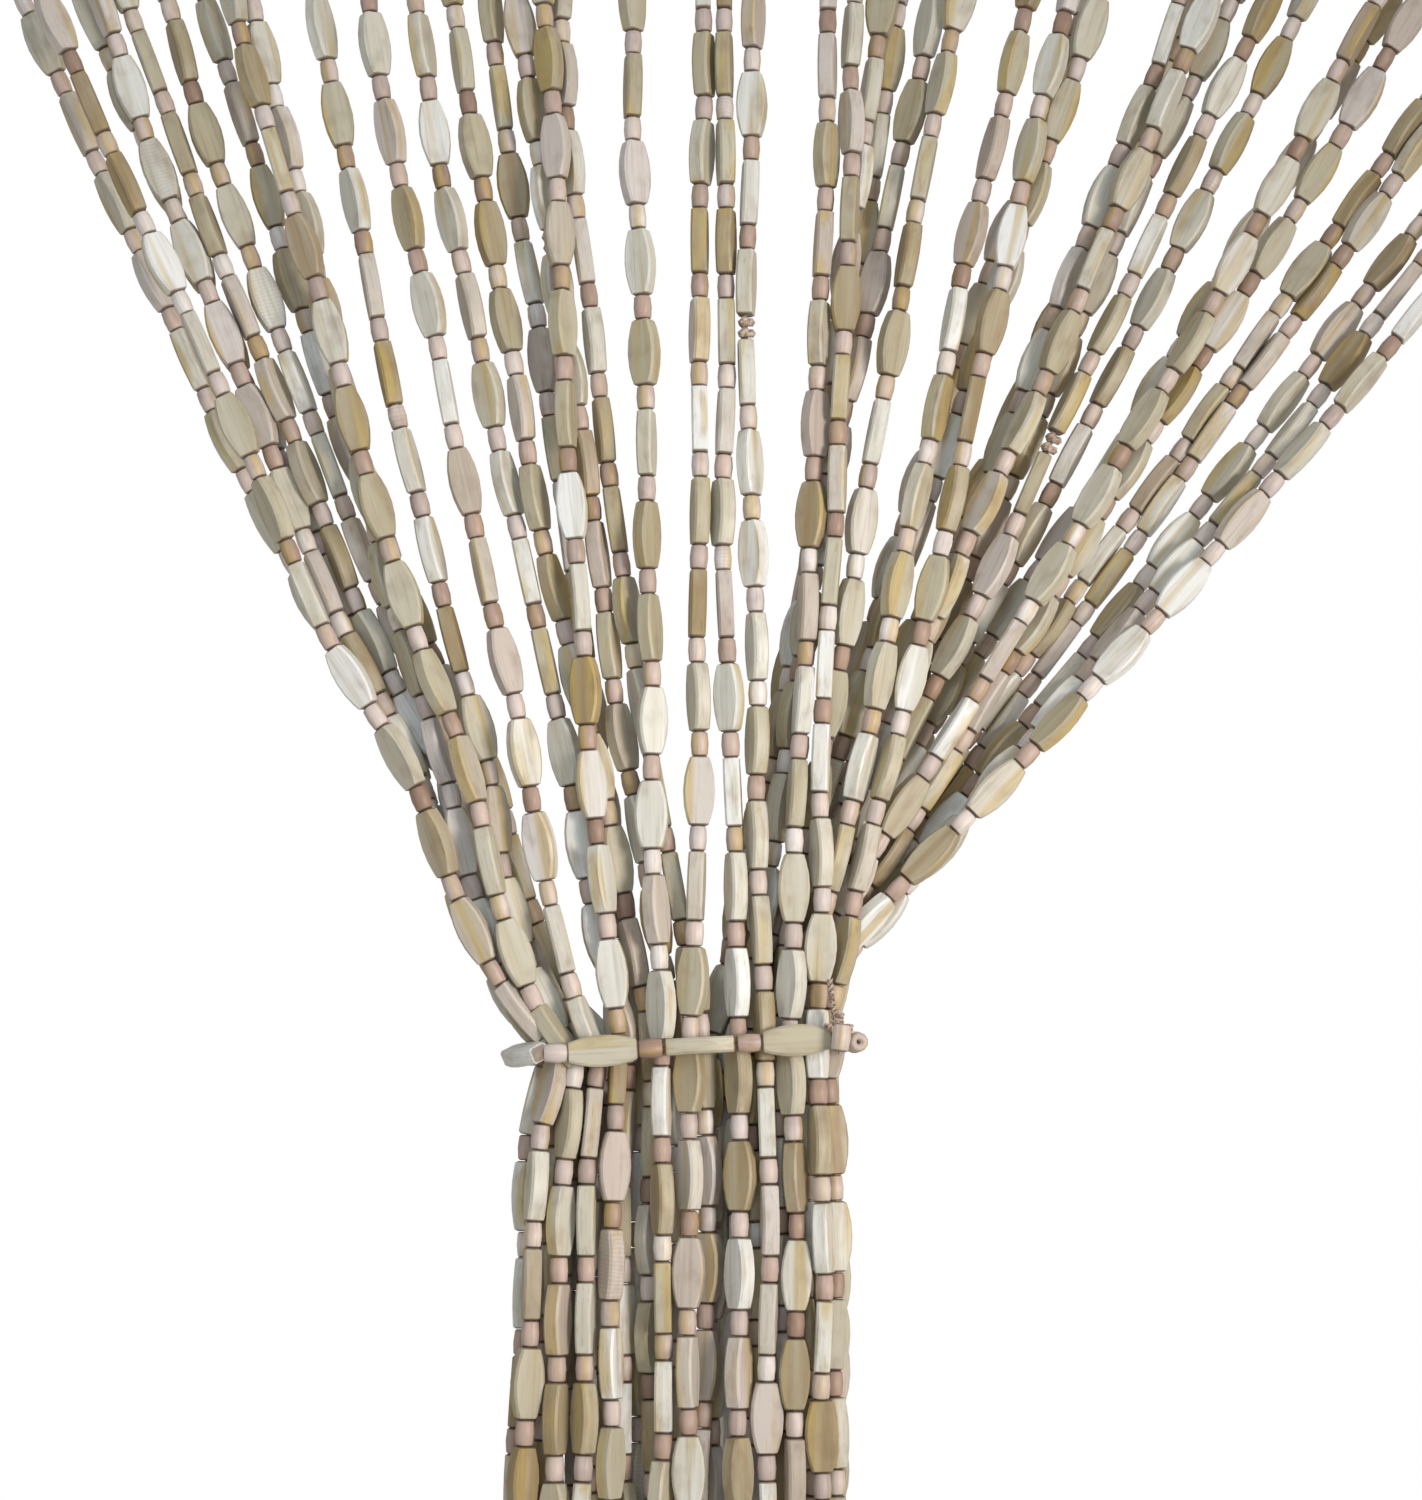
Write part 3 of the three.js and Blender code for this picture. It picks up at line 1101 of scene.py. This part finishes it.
def knotted_end():
    """The upright bead, the bored bead, the knots and the free end at the right of the tie."""
    half_bore = 0.0052
    upright = Vector((tie_x + 0.0517, -0.0272, -0.6583))
    bored = Vector((tie_x + 0.0566, -0.0195, -0.6595))
    knots = ((0.0500, 0.0062), (0.0516, 0.0086), (0.0545, 0.0050), (0.0478, 0.0052))
    up = Vector((0.12, 0, 1))
    towards_viewer = Vector((0.28, -0.96, 0.05))
    right = Vector((1, 0, 0))
    marks = [
        mark(SMALL, upright, up, right, 0.32, (1.08, 1.08, 1.08)),
        mark(BORED, bored, towards_viewer, right, 0.92, (1.12, 1.12, 0.95)),
    ]
    for x, rise in knots:
        place = Vector((tie_x + x, -0.0262, -0.660 + rise))
        marks.append(mark(KNOT, place, Vector((0.3, 0.4, 1)), right, None, (0.75, 0.75, 0.75)))
    twists = 4
    steps_in_twist = 8
    ply = 0.0007
    foot = Vector((tie_x + 0.0500, -0.0250, -0.6535))
    top = Vector((tie_x + 0.0483, -0.0235, -0.6398))
    plies = []
    for start in (0, math.pi):
        line = []
        for step in range(twists * steps_in_twist + 1):
            turn = 2 * math.pi * step / steps_in_twist + start
            round_axis = Vector((math.cos(turn), math.sin(turn), 0)) * ply
            line.append(foot.lerp(top, step / (twists * steps_in_twist)) + round_axis)
        plies.append(line)
    through_upright = [upright - up * half_bore, upright + up * half_bore, foot]
    return marks, [*plies, through_upright]


end_marks, end_threads = knotted_end()
tie_marks = [tie_bead(*row) for row in tie_front] + hidden_tie_beads() + end_marks
tie_thread = [tie_point(step) for step in np.arange(0, tie_round + 0.001, tie_thread_step)]
tie = threaded("tie_beads", tie_marks, [tie_thread, *end_threads], 71)
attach(tie, "root")
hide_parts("tie")

for pattern in bead_patterns.values():
    bpy.data.objects.remove(pattern)

# Room: a plain pale floor under the hanging curtain, with soft light from a wide white room.
# A soft warm lamp at the front right lights the tie, and a cool one higher up the open strings.
floor_z = -1.95
floor_size = 24.0
floor_thickness = 0.02


def pale_floor():
    """A matt, almost white floor with a faint speckle."""
    material, shader, start = new_material("pale_floor")
    place = start.node("ShaderNodeTexCoord", output=3)
    speckle = place.noise(60.0, 3.0)
    shade = speckle.ramp([(0.3, colour(240, 240, 238)), (0.7, colour(246, 246, 245))])
    connect(shader, "Base Color", shade)
    shader.inputs["Roughness"].default_value = 0.7
    return material


half_floor = floor_size / 2
floor_low = (-half_floor, -half_floor, floor_z - floor_thickness)
floor = add_object("floor", box_mesh("floor", floor_low, (half_floor, half_floor, floor_z)))
floor.data.materials.append(pale_floor())


def room_light():
    """A pale room with warm light from its walls, white light from above and a white view."""
    wall_light = 0.30
    ceiling_light = 0.80
    warm = (1.0, 0.86, 0.74, 1.0)
    white = (1.0, 1.0, 1.0, 1.0)
    world = bpy.data.worlds.new("white_room")
    world.use_nodes = True
    start = Shade(world.node_tree)
    direction = start.node("ShaderNodeTexCoord", output=0)
    height = start.node("ShaderNodeSeparateXYZ", {}, {0: direction}, 2)
    above = height.rising(0.35, 0.85)
    seen = start.node("ShaderNodeLightPath", output=0)
    light = wall_light + above * (ceiling_light - wall_light)
    strength = light + seen * (1 - light)
    background = world.node_tree.nodes["Background"]
    connect(background, "Color", above.ramp([(0.0, warm), (1.0, white)]).mixed(white, seen))
    connect(background, "Strength", strength)
    return world


bpy.context.scene.world = room_light()


def soft_lamp(name, place, target, size, power, spread, tint):
    """A square lamp at a place, turned to its target, with its light spread by so many degrees."""
    data = bpy.data.lights.new(name, "AREA")
    data.size = size
    data.energy = power
    data.spread = math.radians(spread)
    data.color = tint
    lamp = add_object(name, data)
    lamp.location = place
    lamp.rotation_euler = (Vector(target) - Vector(place)).to_track_quat("-Z", "Y").to_euler()


soft_lamp("tie_lamp", (0.90, -1.20, -0.62), (-0.09, 0.0, -0.59), 0.5, 1.10, 36, (1.0, 0.91, 0.85))
soft_lamp("fan_lamp", (-0.35, -1.10, -0.05), (-0.11, 0.0, -0.45), 0.6, 0.33, 42, (0.58, 0.78, 1.0))

# Camera: it stands about a metre in front of the curtain, a little left of its middle and below
# the tie's height, and looks up by 8 degrees, as in the photograph.
photo_height = 1500
focal_pixels = 3150.0
look_up = 8
camera_data = bpy.data.cameras.new("camera")
camera_data.sensor_width = 36.0
camera_data.lens = focal_pixels / photo_height * camera_data.sensor_width
camera = add_object("camera", camera_data)
camera.location = (-0.070, -1.015, -0.7063)
camera.rotation_euler = (math.radians(90 + look_up), 0.0, 0.0)
bpy.context.scene.camera = camera
bpy.context.scene.view_settings.view_transform = "Standard"
